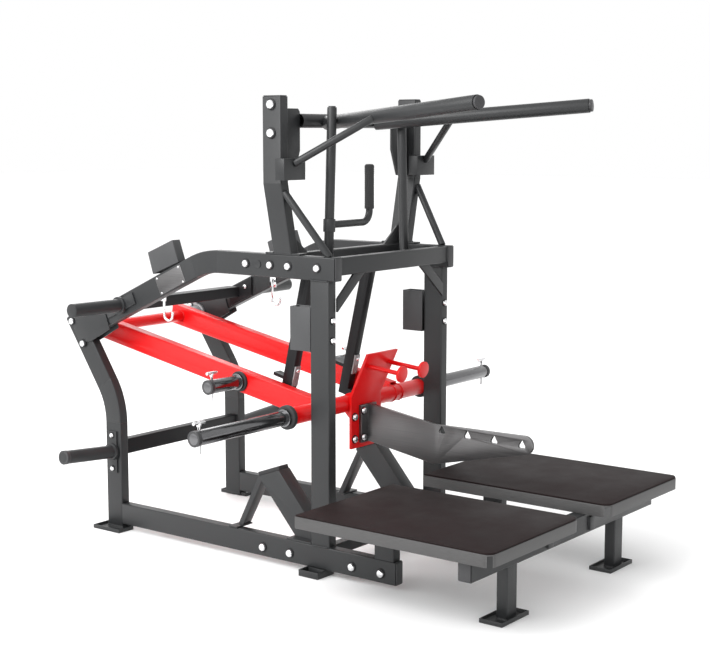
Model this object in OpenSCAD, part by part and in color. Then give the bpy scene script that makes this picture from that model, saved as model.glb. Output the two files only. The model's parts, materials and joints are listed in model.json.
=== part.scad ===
// Plate-loaded belt squat machine: a frame with two platforms, a pivoting lever that carries the
// plates and the belt arm, swinging catches that park the lever, and hand bars at chest height.
// The user stands on the platforms at -Y and faces +Y. Left is -X. The floor is Z = 0.

/* [Frame tube] */
// Depth of the frame's rectangular tube, its larger side
tube_d = 80; // [70:1:90]
// Width of the frame's rectangular tube, its smaller side
tube_w = 40; // [36:1:44]
// Wall of every rectangular tube
wall = 3; // [2:0.5:4]
// Corner radius of the rectangular tube
corner_r = 5; // [3:1:7]

/* [Frame] */
// Distance between the outer faces of the two side frames
frame_w = 706; // [690:2:730]
// Height of the top of the top beams
beam_top = 1092; // [1080:1:1110]
// Height of the columns' tops
column_top = 1620; // [1600:5:1680]
// Distance of the columns' outer faces from the centre, at the top
column_out = 405; // [395:1:420]
// Slope of the rear part of the top beams, down from level
beam_slope = 24.5; // [23:0.5:26]
// Lean of the rear legs' upper part, back from upright
leg_lean = 34; // [33:0.5:35]

/* [Platforms] */
// Height of the platforms' tops
platform_top = 290; // [280:1:300]
// Width of one platform
platform_w = 530; // [480:5:540]
// Length of the platforms
platform_l = 740; // [700:5:745]
// Open gap between the two platforms
platform_gap = 190; // [170:2:220]

/* [Lever] */
// Diameter of the lever's front cross tube
cross_d = 60; // [56:1:64]
// Diameter of the plate sleeves and storage horns
sleeve_d = 50; // [48:0.5:50.5]
// Distance from the centre to the outer ends of the long sleeves
sleeve_reach = 850; // [800:5:870]
// Diameter of the lever's pivot shaft
pivot_d = 30; // [25:1:32]
// Radial clearance of the running fits
run_fit = 0.05; // [0.02:0.01:0.08]

/* [Hidden] */
$fn = 48;
eps = 0.2;                             // overlap of cutting shapes
seam = 0.02;                           // hairline between a bend and the straights it joins
half_w = frame_w / 2;
rail_x = half_w - tube_w / 2;          // centre of each side frame
rail_z = 23;                           // underside of the base rails
rail_top = rail_z + tube_d;
rail_front = -276;                     // machine Y, counted from the front face of the uprights
rail_rear = 1007;
beam_z = beam_top - tube_d / 2;
beam_front = -23;
beam_knee = 501;
beam_bend_r = 283;
beam_tail = 613;                       // length of the sloping part
leg_y = rail_rear + tube_d / 2;
leg_knee = 412;
leg_bend_r = 260;
leg_run = 305;                         // length of the rear leg's leaning part
leg_top_y = leg_y + leg_bend_r * (1 - cos(leg_lean)) + leg_run * sin(leg_lean);
leg_top_z = leg_knee + leg_bend_r * sin(leg_lean) + leg_run * cos(leg_lean);
platform_front = -815;
platform_t = 45;
mat_t = 6;
platform_x = platform_gap / 2 + platform_w / 2;
rear_y = leg_top_y + tube_d / 2 * cos(leg_lean);
upright_y = -(platform_front + rear_y) / 2;   // puts the origin under the middle of the machine

pivot_y = 1223;                        // lever pivot, on the rear legs' centre line
pivot_z = 752;
cross_y = 150;                         // front cross tube of the lever
cross_z = 544;
arm_angle = atan((pivot_z - cross_z) / (pivot_y - cross_y));
arm_len = norm([pivot_z - cross_z, pivot_y - cross_y]);
arm_x = 220;                           // centre of each lever arm
arm_w = 40;
arm_d = 80;
disc_x = 385;                          // inner face of the plate stops
short_horn_y = 500;
short_horn_z = pivot_z - (pivot_y - short_horn_y) * tan(arm_angle);
short_reach = 412;
short_stop_t = 10;
pin_d = 10;

column_y = 200;                        // centre of the columns
column_knee = 1334;
hand_z = 1541;                         // centre of the upper cross tube
hand_y = 197;
bar_d = 48;
post_d = 33;
post_y = 105;
post_foot_x = 222;
post_head_x = 200;
post_foot_z = beam_top - 30;
post_head_z = 1590;

catch_y = 224;                         // catch pivot
catch_z = 1030;
catch_x = 174;                         // centre of each catch
catch_lean = 13.2;
catch_len = 515;
lug_y = 250;
lug_z = pivot_z - (pivot_y - lug_y) * tan(arm_angle);
lug_d = 24;

horn_reach = 605;
rear_horn_z = 300;
beam_turn = beam_knee + beam_bend_r * tan(beam_slope / 2);  // where its two axes cross
beam_horn_y = 990;
beam_horn_z = beam_z - (beam_horn_y - beam_turn) * tan(beam_slope) + 6;
horn_tilt = 4.5;

paint = "#4a4b4d";
red = "#c8262b";
rubber = "#1c1c1d";
steel = "#9a9c9e";
chrome = "#d5d7d9";

// ---- shared shapes ----

// Everything is placed from the front face of the uprights; this moves it to the part's origin.
module machine() { translate([0, upright_y, 0]) children(); }

// The left-hand piece and its mirrored copy on the right.
module both() {
  children();
  mirror([1, 0, 0]) children();
}

module round_rect(w, h, r) {
  square([w - 2 * r, h], center = true);
  square([w, h - 2 * r], center = true);
  for (x = [-1, 1], y = [-1, 1])
    translate([x * (w / 2 - r), y * (h / 2 - r)]) circle(r);
}

module tube_section(w, h, r = corner_r, t = wall) {
  difference() {
    round_rect(w, h, r);
    square([w - 2 * t, h - 2 * t], center = true);
  }
}

// Rectangular tubes along each axis, starting at the origin.
module tube_up(len, w, h) { linear_extrude(len) tube_section(w, h); }
module tube_back(len, w, h) { rotate([-90, 0, 0]) linear_extrude(len) tube_section(w, h); }
module tube_across(len, d, h) { rotate([90, 0, 90]) linear_extrude(len) tube_section(d, h); }

module rod(from, to, d) {
  v = to - from;
  len = norm(v);
  translate(from)
    rotate([0, acos(v.z / len), atan2(v.y, v.x)])
      cylinder(h = len, d = d);
}

module hollow_rod(from, to, d, t) {
  v = to - from;
  len = norm(v);
  translate(from)
    rotate([0, acos(v.z / len), atan2(v.y, v.x)])
      difference() {
        cylinder(h = len, d = d);
        translate([0, 0, -eps]) cylinder(h = len + 2 * eps, d = d - 2 * t);
      }
}

// A flat plate in the Y-Z plane, from x to x + t.
module side_plate(x, t, points) {
  translate([x, 0, 0]) rotate([90, 0, 90]) linear_extrude(t) polygon(points);
}

// Screw head on a washer, pointing to -X.
module side_bolt(x, y, z, d = 18) {
  translate([x, y, z]) rotate([0, -90, 0]) {
    cylinder(h = 2, d = d * 1.5);
    translate([0, 0, 2]) cylinder(h = d * 0.4, d = d);
    translate([0, 0, 2 + d * 0.4]) cylinder(h = d * 0.12, d = d * 0.7);
  }
}

// Screw head on a washer, pointing to -Y.
module front_bolt(x, y, z, d = 16) {
  translate([x, y, z]) rotate([90, 0, 0]) {
    cylinder(h = 2, d = d * 1.5);
    translate([0, 0, 2]) cylinder(h = d * 0.45, d = d);
  }
}

// ---- side frames ----

module left_rail() {
  translate([-rail_x, rail_front, rail_z + tube_d / 2])
    tube_back(rail_rear - rail_front, tube_w, tube_d);
}

module base_rail_left() { color(paint) machine() left_rail(); }
module base_rail_right() { color(paint) machine() mirror([1, 0, 0]) left_rail(); }

module left_leg() {
  translate([-rail_x, leg_y, 14]) tube_up(leg_knee - seam - 14, tube_w, tube_d);
  translate([-rail_x, leg_y + leg_bend_r, leg_knee])
    rotate([90, 0, 90]) rotate([0, 0, 180 - leg_lean])
      rotate_extrude(angle = leg_lean, $fn = 96)
        translate([leg_bend_r, 0]) tube_section(tube_d, tube_w);
  translate([-rail_x, leg_top_y, leg_top_z]) rotate([180 - leg_lean, 0, 0])
    tube_up(leg_run - seam, tube_w, tube_d);
}

module rear_leg_left() { color(paint) machine() left_leg(); }
module rear_leg_right() { color(paint) machine() mirror([1, 0, 0]) left_leg(); }

module left_upright() {
  translate([-rail_x, tube_d / 2, rail_top])
    tube_up(beam_top - tube_d - rail_top, tube_w, tube_d);
}

module front_upright_left() { color(paint) machine() left_upright(); }
module front_upright_right() { color(paint) machine() mirror([1, 0, 0]) left_upright(); }

module left_beam() {
  translate([-rail_x, beam_front, beam_z]) tube_back(beam_knee - seam - beam_front, tube_w, tube_d);
  translate([-rail_x, beam_knee, beam_z - beam_bend_r]) rotate([0, -90, 0])
    rotate_extrude(angle = beam_slope, $fn = 96)
      translate([beam_bend_r, 0]) tube_section(tube_d, tube_w);
  translate([-rail_x, beam_knee + beam_bend_r * sin(beam_slope),
             beam_z - beam_bend_r * (1 - cos(beam_slope))])
    rotate([-beam_slope, 0, 0]) translate([0, seam, 0]) tube_back(beam_tail, tube_w, tube_d);
}

module top_beam_left() { color(paint) machine() left_beam(); }
module top_beam_right() { color(paint) machine() mirror([1, 0, 0]) left_beam(); }

// The column leans outwards up to its knee and is upright above it.
module left_column() {
  foot_x = -rail_x;
  top_x = -(column_out - tube_w / 2);
  lean = atan((foot_x - top_x) / (column_knee - beam_top));
  translate([top_x, column_y, column_knee]) tube_up(column_top - column_knee, tube_w, tube_d);
  intersection() {
    translate([foot_x, column_y, beam_top]) rotate([0, -lean, 0])
      translate([0, 0, -40]) tube_up(400, tube_w, tube_d);
    translate([-500, column_y - 100, beam_top + 6])
      cube([300, 200, column_knee - beam_top - 6]);
  }
}

module column_left() {
  color(paint) machine() {
    left_column();
    translate([-half_w, column_y - 75, beam_top]) cube([tube_w, 150, 6]);
  }
}

module column_right() {
  color(paint) machine() mirror([1, 0, 0]) {
    left_column();
    translate([-half_w, column_y - 75, beam_top]) cube([tube_w, 150, 6]);
  }
}

// ---- crossmembers ----

module front_crossbeam() {
  color(paint) machine() {
    span = frame_w - 2 * tube_w;
    translate([-span / 2, beam_front + 20, beam_top - 32]) tube_across(span, 40, 60);
    both() translate([-span / 2, beam_front + 24, 0]) rotate([90, 0, 0]) linear_extrude(8)
      polygon([[0, beam_top - 140], [0, beam_top - 185], [150, beam_top - 62], [90, beam_top - 62]]);
  }
}

// One tube between the rear legs, and one with end plates between the sloping beams.
module rear_crossmember() {
  color(paint) machine() {
    span = frame_w - 2 * tube_w;
    translate([-span / 2, leg_y - 10, 316]) tube_across(span, 40, 58);
    translate([-span / 2 + 8, 1020, 858]) tube_across(span - 16, 60, 42);
    both() side_plate(-span / 2, 8, [[925, 922], [1045, 868], [1045, 794], [925, 848]]);
  }
}

module lower_crossmember() {
  color(paint) machine() {
    span = frame_w - 2 * tube_w;
    translate([-span / 2, 30, rail_top - 20]) tube_across(span, 40, 40);
  }
}

// Tie between the columns' feet, with raised ends and the hangers of the two catches below it.
module column_tie() {
  color("#3a3b3c") machine() {
    foot = rail_x - tube_w / 2;
    translate([-foot, column_y, beam_top - 18]) tube_across(2 * foot, 40, 40);
    both() {
      translate([-foot, column_y + 4, 0]) rotate([90, 0, 0]) linear_extrude(8)
        polygon([[0, beam_top + 7], [0, beam_top + 2], [90, beam_top + 2], [-17, beam_top + 84]]);
      for (x = [-catch_x - 30, -catch_x + 22])
        side_plate(x, 8, [[catch_y - 22, catch_z - 22], [catch_y + 22, catch_z - 22],
                          [catch_y + 22, catch_z + 14], [column_y + 20, beam_top - 38],
                          [column_y - 20, beam_top - 38]]);
      rod([-catch_x - 34, catch_y, catch_z], [-catch_x + 34, catch_y, catch_z], 14);
    }
  }
}

module upper_cross_tube() {
  color(paint) machine() hollow_rod([-265, hand_y, hand_z], [265, hand_y, hand_z], bar_d, 3);
}

module column_gussets() {
  color(paint) machine() both()
    translate([0, hand_y + 5, 0]) rotate([90, 0, 0]) linear_extrude(10)
      polygon([[-365, 1345], [-300, 1345], [-265, 1440], [-265, 1572], [-275, 1582], [-365, 1582]]);
}

module column_brackets() {
  color(paint) machine() both() difference() {
    translate([-435, column_y - 80, 1345]) cube([110, 40, 72]);
    translate([-429, column_y - 74, 1340]) cube([98, 40, 71]);
  }
}

// ---- hand bars ----

function post_at(z) =
  post_foot_x + (post_head_x - post_foot_x) * (z - post_foot_z) / (post_head_z - post_foot_z);

module left_post() {
  foot = [-post_foot_x, post_y, post_foot_z];
  head = [-post_head_x, post_y, post_head_z];
  way = (head - foot) / norm(head - foot);
  hollow_rod(foot, head - 8 * way, post_d, 3);
  rod(head - 12 * way, head - 4 * way, post_d - 1);
  rod(head - 6 * way, head, post_d - 8);
  // bracket that carries the post's foot from the tie
  translate([-post_foot_x - 25, post_y - 10, beam_top - 36])
    cube([50, column_y - 20 - post_y + 10, 6]);
}

module post_left() { color(paint) machine() left_post(); }
module post_right() { color(paint) machine() mirror([1, 0, 0]) left_post(); }

bar_rear = [-141, hand_y - 22, 1534];
bar_front = [-350, -575, 1592];

module left_bar() { hollow_rod(bar_rear, bar_front, bar_d, 3); }
module handle_bar_left() { color(paint) machine() left_bar(); }
module handle_bar_right() { color(paint) machine() mirror([1, 0, 0]) left_bar(); }

// Struts from the column brackets to the hand bars, and rods from the columns to the top beams.
module bar_struts() {
  color(paint) machine() both() {
    rod([-380, column_y - 78, 1400], [-232, -90, 1548], 25);
    rod([-385, column_y - 38, 1305], [-333, 12, beam_top], 25);
  }
}

// ---- lock handle, turning about the left post ----

lock_z = 1188;
lock_x = post_at(lock_z);
lean_post = atan((post_foot_x - post_head_x) / (post_head_z - post_foot_z));

module lock_handle() {
  color(paint) machine() {
    translate([-lock_x, post_y, lock_z]) rotate([0, lean_post, 0]) difference() {
      translate([0, 0, -22]) cylinder(h = 44, d = post_d + 9);
      translate([0, 0, -23]) cylinder(h = 46, d = post_d + 2 * run_fit);
    }
    rod([-lock_x + 19, post_y, lock_z + 2], [-30 - seam, post_y, lock_z + 2], 25);
    translate([-30, post_y, lock_z + 42]) rotate([90, 0, 0]) rotate([0, 0, -90])
      rotate_extrude(angle = 90) translate([40, 0]) circle(d = 25);
    rod([10, post_y, lock_z + 42 + seam], [10, post_y, 1385], 25);
  }
}

module lock_grip() {
  color(rubber) machine() translate([10, post_y, 1236]) difference() {
    union() {
      cylinder(h = 148, d = 34);
      translate([0, 0, 148]) cylinder(h = 8, d1 = 34, d2 = 24);
    }
    translate([0, 0, -1]) cylinder(h = 150.3, d = 25);
  }
}

module end_caps() {
  color(rubber) machine() both() {
    translate([-rail_x - 17, rail_front - 4, rail_z + 3]) cube([34, 4, tube_d - 6]);
    translate([-column_out + 3, column_y - 37, column_top]) cube([34, 74, 4]);
    translate([-rail_x - 17, beam_front - 4, beam_top - tube_d + 3]) cube([34, 4, tube_d - 6]);
    rod(bar_front, bar_front + 10 * (bar_front - bar_rear) / norm(bar_front - bar_rear), bar_d - 6);
    translate([-594, -728, 177]) translate([0, 3, 3]) cube([4, 44, 62]);
    translate([-rail_x, leg_top_y, leg_top_z]) rotate([-leg_lean, 0, 0])
      translate([-17, -37, 0]) cube([34, 74, 4]);
  }
}

// ---- storage horns and covers ----

module storage_horn(y, z, tilt) {
  translate([-half_w, y, z]) {
    translate([-6, -22, -80]) cube([6, 44, 160]);
    rotate([0, -90 + tilt, 0]) {
      translate([0, 0, 5]) cylinder(h = 12, d = 66);
      translate([0, 0, 17]) difference() {
        cylinder(h = horn_reach - half_w - 20, d = sleeve_d);
        translate([0, 0, 2]) cylinder(h = horn_reach, d = sleeve_d - 6);
      }
      translate([0, 0, horn_reach - half_w - 7]) cylinder(h = 5, d = sleeve_d - 6.4);
    }
  }
}

module storage_horns() {
  color(paint) machine() both() {
    storage_horn(leg_y, rear_horn_z, horn_tilt);
    translate([-half_w, beam_horn_y, beam_horn_z]) rotate([90 - beam_slope, 0, 0])
      translate([half_w, 0, 0]) storage_horn(0, 0, 2);
  }
}

// Channel-shaped covers behind the uprights.
module upright_covers() {
  color(paint) machine() both() difference() {
    translate([-half_w, tube_d, 770]) cube([50, 88, 150]);
    translate([-half_w + 3, tube_d - 1, 773]) cube([44, 86, 150]);
  }
}

module beam_guards() {
  color(paint) machine() both() difference() {
    side_plate(-half_w, tube_w, [[690, 1041], [719, 1119], [844, 1068], [819, 990]]);
    side_plate(-half_w + 3, tube_w - 6, [[678, 1000], [721, 1115], [840, 1066], [806, 960]]);
  }
}

module blank_plates() {
  color(steel) machine() both()
    side_plate(-half_w - 2, 2, [[808, 975], [682, 1032], [654, 972], [780, 915]]);
}

// Plates that join the top beams to the rear legs, with the storage side left clear.
module joint_gussets() {
  color(paint) machine() both() for (x = [-half_w - 5, -half_w + tube_w])
    side_plate(x, 5, [[1080, 850], [1185, 822], [1250, 812], [1270, 800], [1215, 700], [1150, 716], [1050, 770]]);
}

// ---- platforms ----

module left_platform() {
  r = 32;
  difference() {
    translate([-platform_x, platform_front + platform_l / 2, platform_top - platform_t]) {
      linear_extrude(platform_t - mat_t) union() {
        translate([-platform_w / 2, -platform_l / 2 + r]) square([platform_w, platform_l - r]);
        translate([-platform_w / 2 + r, -platform_l / 2]) square([platform_w - 2 * r, platform_l]);
        for (s = [-1, 1]) translate([s * (platform_w / 2 - r), -platform_l / 2 + r]) circle(r);
      }
    }
    translate([-platform_x - platform_w / 2 + 4, platform_front + 4, platform_top - platform_t - 4])
      cube([platform_w - 8, platform_l - 8, platform_t - mat_t]);
  }
}

module platform_left() { color("#8b8c8e") machine() left_platform(); }
module platform_right() { color("#8b8c8e") machine() mirror([1, 0, 0]) left_platform(); }

module platform_mats() {
  r = 30;
  color(rubber) machine() both()
    translate([-platform_x, platform_front + platform_l / 2, platform_top - mat_t])
      linear_extrude(mat_t) union() {
        translate([-platform_w / 2 + 2, -platform_l / 2 + r + 2])
          square([platform_w - 4, platform_l - r - 4]);
        translate([-platform_w / 2 + r + 2, -platform_l / 2 + 2])
          square([platform_w - 2 * r - 4, platform_l - 4]);
        for (s = [-1, 1]) translate([s * (platform_w / 2 - r - 2), -platform_l / 2 + r + 2]) circle(r);
      }
}

module platform_front_tube() {
  color(paint) machine() {
    translate([-590, -703, 211]) tube_across(1180, 50, 68);
    both() translate([-platform_gap / 2 - 60, -736, 186]) cube([34, 8, 46]);
  }
}

module platform_legs() {
  color(paint) machine() both() {
    translate([-352, -703, 10]) tube_up(167, 60, 40);
    translate([-rail_x, rail_front + 47, rail_top])
      tube_up(platform_top - platform_t - rail_top, tube_w, 80);
  }
}

// A foot plate with a low turned-up edge.
module foot(x, y, w, l, h) {
  translate([x - w / 2, y - l / 2, 0]) difference() {
    cube([w, l, h]);
    translate([4, 4, 4]) cube([w - 8, l - 8, h]);
  }
}

module feet() {
  color(paint) machine() both() {
    foot(-352, -695, 160, 84, 14);
    translate([-382, -723, 4]) cube([60, 40, 6]);
    foot(-352, 58, 90, 84, 23);
    foot(-360, 1050, 76, 140, 14);
    translate([-rail_x - tube_w / 2, leg_y - tube_d / 2, 4]) cube([tube_w, tube_d, 10]);
    translate([-rail_x - tube_w / 2, 20, 4]) cube([tube_w, 72, rail_z - 4]);
  }
}

// ---- lower stops ----

module left_bumper_bracket() {
  translate([-half_w + tube_w, 0, 0]) {
    side_plate(0, 60, [[60, rail_top], [180, rail_top], [352, 296], [258, 330]]);
    side_plate(0, 44, [[430, rail_top], [452, rail_top], [352, 296], [336, 282]]);
    translate([-tube_w, tube_d, rail_top]) cube([tube_w + 60, 110, 6]);
    translate([-tube_w, 420, rail_top]) cube([tube_w + 44, 40, 6]);
  }
}

module bumper_brackets() { color(paint) machine() both() left_bumper_bracket(); }

// Rubber pads on the brackets, facing up and forward to the lever's cross tube.
module bumper_pads() {
  color(rubber) machine() both() translate([-half_w + tube_w, 0, 0])
    side_plate(4, 52, [[352, 296], [258, 330], [263, 344], [357, 310]]);
}

// ---- lever ----

module lever_frame() {
  translate([0, pivot_y, pivot_z]) rotate([arm_angle, 0, 0]) children();
}

module left_arm() {
  lever_frame() difference() {
    translate([-arm_x, -arm_len + cross_d / 2 - 22, 0])
      tube_back(arm_len - cross_d / 2 + 22 + 50, arm_w, arm_d);
    translate([-arm_x - 30, 0, 0]) rotate([0, 90, 0]) cylinder(h = 60, d = 44);
    translate([-arm_x - 30, -arm_len, 0]) rotate([0, 90, 0]) cylinder(h = 60, d = cross_d);
  }
}

module lever_arm_left() { color(red) machine() left_arm(); }
module lever_arm_right() { color(red) machine() mirror([1, 0, 0]) left_arm(); }

// Pins on the arms' inner faces that the catches take hold of.
module catch_lugs() {
  color(red) machine() both() rod([-arm_x + arm_w / 2, lug_y, lug_z], [-152, lug_y, lug_z], lug_d);
}

module lever_pivot_tube() {
  color(red) machine() translate([-245, pivot_y, pivot_z]) rotate([0, 90, 0]) difference() {
    cylinder(h = 490, d = 44);
    translate([0, 0, -1]) cylinder(h = 492, d = pivot_d + 2 * run_fit);
  }
}

shaft_end = 307;

module pivot_shaft() {
  color(chrome) machine() rod([-shaft_end, pivot_y, pivot_z], [shaft_end, pivot_y, pivot_z], pivot_d);
}

// Flanged bearing blocks bolted to the inner faces of the rear legs.
module pivot_bearings() {
  color(steel) machine() both() translate([-308, pivot_y, pivot_z]) rotate([-leg_lean, 0, 0])
    rotate([0, 90, 0]) difference() {
      union() {
        linear_extrude(12) union() {
          square([100, 46], center = true);
          for (s = [-1, 1]) translate([s * 50, 0]) circle(23);
          circle(42);
        }
        translate([0, 0, 12]) cylinder(h = 26, d1 = 72, d2 = 60);
      }
      translate([0, 0, -1]) cylinder(h = 60, d = pivot_d);
    }
}

module lever_cross_tube() {
  color(red) machine() hollow_rod([-disc_x, cross_y, cross_z], [disc_x, cross_y, cross_z], cross_d, 4);
}

// A plate sleeve pointing to -X, with a cross hole for its lock pin.
module sleeve(x, reach, y, z, pin_x) {
  difference() {
    union() {
      rod([-x, y, z], [-reach + 4, y, z], sleeve_d);
      rod([-reach + 4, y, z], [-reach, y, z], sleeve_d - 8);
    }
    translate([-pin_x, y, z - 40]) cylinder(h = 80, d = pin_d + 2 * run_fit);
  }
}

long_pin_x = sleeve_reach - 26;
short_pin_x = short_reach - 24;

module weight_sleeves() {
  color(chrome) machine() both() sleeve(disc_x + 12, sleeve_reach, cross_y, cross_z, long_pin_x);
}

module short_sleeves() {
  color(chrome) machine() both()
    sleeve(arm_x + arm_w / 2 + short_stop_t, short_reach, short_horn_y, short_horn_z, short_pin_x);
}

// Rubber rings that the plates come to rest against.
module plate_stops() {
  color(rubber) machine() both() {
    translate([-disc_x, cross_y, cross_z]) rotate([0, -90, 0]) difference() {
      union() {
        cylinder(h = 14, d = 84);
        translate([0, 0, 14]) cylinder(h = 4, d1 = 84, d2 = 76);
      }
      translate([0, 0, 12]) cylinder(h = 10, d = sleeve_d + 0.4);
    }
    translate([-arm_x - arm_w / 2, short_horn_y, short_horn_z]) rotate([0, -90, 0])
      cylinder(h = short_stop_t, d = 74);
  }
}

module belt_bracket() {
  color(red) machine() {
    // face plate in two leaves, in front of the cross tube
    rotate([90, 0, 90]) translate([0, 0, -88]) linear_extrude(176)
      polygon([[34, 732], [44, 734], [119, 574], [119, 386], [109, 386], [109, 571]]);
    // cheeks back to the cross tube
    difference() {
      for (x = [-60, 52])
        side_plate(x, 8, [[118, 590], [119, 470], [150, 500], [182, 530], [182, 560], [150, 580]]);
      translate([-100, cross_y, cross_z]) rotate([0, 90, 0]) cylinder(h = 200, d = cross_d);
    }
  }
}

module bracket_pegs() {
  color(red) machine() both() {
    rod([-64, 54, 688], [-64, -88, 674], 16);
    rod([-64, -88, 674], [-64, -97, 673], 58);
  }
}

module belt_arm() {
  hole_z = [482, 478, 475, 473];
  hole_y = [-222, -325, -432, -541];
  color(steel) machine() difference() {
    union() {
      side_plate(-6, 12, [[97, 543], [-189, 500], [-551, 504], [-551, 440], [-189, 359], [97, 406]]);
      translate([-6, -551, 472]) rotate([0, 90, 0]) cylinder(h = 12, d = 64);
      // foot plate bolted to the bracket's face
      translate([-44, 97, 404]) cube([88, 12, 136]);
    }
    for (i = [0:3]) translate([-10, hole_y[i], hole_z[i]]) rotate([90, 0, 90]) linear_extrude(20) {
      polygon([[-9, -12], [9, -12], [14, -4], [4, 13], [-4, 13], [-14, -4]]);
      for (p = [[-9, -7], [9, -7], [0, 11]]) translate(p) circle(5);
    }
  }
}

// A lock pin with a T handle, dropped through a sleeve from above.
module lock_pin(x, y, z) {
  translate([x, y, z]) {
    translate([0, 0, -sleeve_d / 2 - 26]) cylinder(h = sleeve_d + 26 + 26, d = pin_d);
    translate([0, 0, sleeve_d / 2 + 24]) rotate([0, 90, 0])
      translate([0, 0, -26]) cylinder(h = 52, d = 11);
    translate([0, 0, sleeve_d / 2 + 12]) cylinder(h = 12, d = 16);
  }
}

module lock_pin_left() { color(chrome) machine() lock_pin(-long_pin_x, cross_y, cross_z); }
module lock_pin_right() { color(chrome) machine() lock_pin(long_pin_x, cross_y, cross_z); }
module short_pin_left() { color(chrome) machine() lock_pin(-short_pin_x, short_horn_y, short_horn_z); }
module short_pin_right() { color(chrome) machine() lock_pin(short_pin_x, short_horn_y, short_horn_z); }

// ---- belt hooks ----

// Bent wire hooks on the inner faces of the top beams; the belt hangs here when it is off the arm.
module belt_hooks() {
  hook_y = 812;
  hook_z = 838;                        // centre of the bend
  bend_r = 21;
  wire_d = 9;
  stem_x = half_w - tube_w - 8;
  color(chrome) machine() both() {
    translate([-half_w + tube_w, hook_y - 15, 888]) cube([5, 30, 50]);
    rod([-stem_x, hook_y, hook_z + seam], [-stem_x, hook_y, 925], wire_d);
    translate([-stem_x, hook_y - bend_r, hook_z]) rotate([0, 90, 0]) rotate([0, 0, -90])
      rotate_extrude(angle = 180) translate([bend_r, 0]) circle(d = wire_d);
    rod([-stem_x, hook_y - 2 * bend_r, hook_z + seam], [-stem_x, hook_y - 2 * bend_r, hook_z + 12], wire_d);
  }
}

// ---- catches ----

// A post on the catch pivot, with a toe at its foot that swings under the lever's pin.
module left_catch() {
  translate([-catch_x, catch_y, catch_z]) rotate([catch_lean, 0, 0]) {
    difference() {
      union() {
        translate([-18, -20, -catch_len]) cube([36, 40, catch_len]);
        translate([-18, 0, 0]) rotate([0, 90, 0]) cylinder(h = 36, d = 40);
      }
      translate([-20, 0, 0]) rotate([0, 90, 0]) cylinder(h = 40, d = 14 + 2 * run_fit);
    }
    translate([-18, -60, -catch_len]) cube([36, 40, 26]);
    translate([-18, 20, -catch_len + 100]) cube([36, 46, 12]);
  }
}

module catch_left() { color("#353637") machine() left_catch(); }
module catch_right() { color("#353637") machine() mirror([1, 0, 0]) left_catch(); }

// ---- fasteners ----

module frame_bolts() {
  color(chrome) machine() both() {
    for (y = [49, 175, 255, 365]) side_bolt(-half_w, y, 1054, 17);
    for (y = [-218, -97, 174, 298]) side_bolt(-half_w, y, 57, 18);
    for (z = [1500, 1594]) side_bolt(-column_out, column_y, z, 20);
    for (p = [[1256, 784], [1197, 703]]) side_bolt(-half_w - 5, p.x, p.y, 16);
    for (z = [812, 879]) front_bolt(-rail_x, 0, z, 14);
    for (z = [rear_horn_z - 64, rear_horn_z + 64]) side_bolt(-half_w - 6, leg_y, z, 12);
  }
}

module lever_bolts() {
  color(chrome) machine() {
    for (x = [-34, 34], z = [424, 520]) front_bolt(x, 97, z, 15);
    for (x = [-70, 70], z = [420, 500]) front_bolt(x, 109, z, 16);
  }
}

// ---- assembly ----

base_rail_left();
base_rail_right();
rear_leg_left();
rear_leg_right();
front_upright_left();
front_upright_right();
top_beam_left();
top_beam_right();
column_left();
column_right();
front_crossbeam();
rear_crossmember();
lower_crossmember();
column_tie();
upper_cross_tube();
column_gussets();
column_brackets();
post_left();
post_right();
handle_bar_left();
handle_bar_right();
end_caps();
bar_struts();
lock_handle();
lock_grip();
storage_horns();
upright_covers();
beam_guards();
blank_plates();
joint_gussets();
platform_left();
platform_right();
platform_mats();
platform_front_tube();
platform_legs();
feet();
bumper_brackets();
bumper_pads();
lever_arm_left();
lever_arm_right();
catch_lugs();
lever_pivot_tube();
pivot_shaft();
pivot_bearings();
lever_cross_tube();
weight_sleeves();
short_sleeves();
plate_stops();
belt_bracket();
bracket_pegs();
belt_arm();
lock_pin_left();
lock_pin_right();
short_pin_left();
short_pin_right();
belt_hooks();
catch_left();
catch_right();
frame_bolts();
lever_bolts();
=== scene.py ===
import json
import math

import bpy
from mathutils import Matrix, Vector


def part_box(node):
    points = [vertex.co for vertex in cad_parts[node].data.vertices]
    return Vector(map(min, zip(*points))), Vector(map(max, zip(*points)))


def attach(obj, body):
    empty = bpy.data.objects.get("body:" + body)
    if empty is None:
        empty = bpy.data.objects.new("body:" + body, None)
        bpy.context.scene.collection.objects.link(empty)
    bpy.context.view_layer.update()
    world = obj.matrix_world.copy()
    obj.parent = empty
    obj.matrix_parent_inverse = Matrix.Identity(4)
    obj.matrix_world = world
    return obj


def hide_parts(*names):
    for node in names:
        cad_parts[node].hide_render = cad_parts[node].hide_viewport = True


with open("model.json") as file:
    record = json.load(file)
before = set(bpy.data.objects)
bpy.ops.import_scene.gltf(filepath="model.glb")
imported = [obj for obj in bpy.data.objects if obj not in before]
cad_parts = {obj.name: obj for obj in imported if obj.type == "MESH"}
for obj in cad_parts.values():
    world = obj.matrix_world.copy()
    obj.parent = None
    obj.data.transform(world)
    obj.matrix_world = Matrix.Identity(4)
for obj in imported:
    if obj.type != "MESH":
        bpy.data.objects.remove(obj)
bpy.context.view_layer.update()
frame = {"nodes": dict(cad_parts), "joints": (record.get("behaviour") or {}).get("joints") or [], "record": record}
nodes = frame["nodes"]
print("frame loaded:", len(nodes), "nodes")


# camera

cameraSetup = {
    "place": (-4.148, -3.261, 1.500),
    "yaw": 37.49,      # degrees from +X towards +Y
    "pitch": -7.776,
    "lens": 74.64,
    "sensor": 36.0,
}


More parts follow.
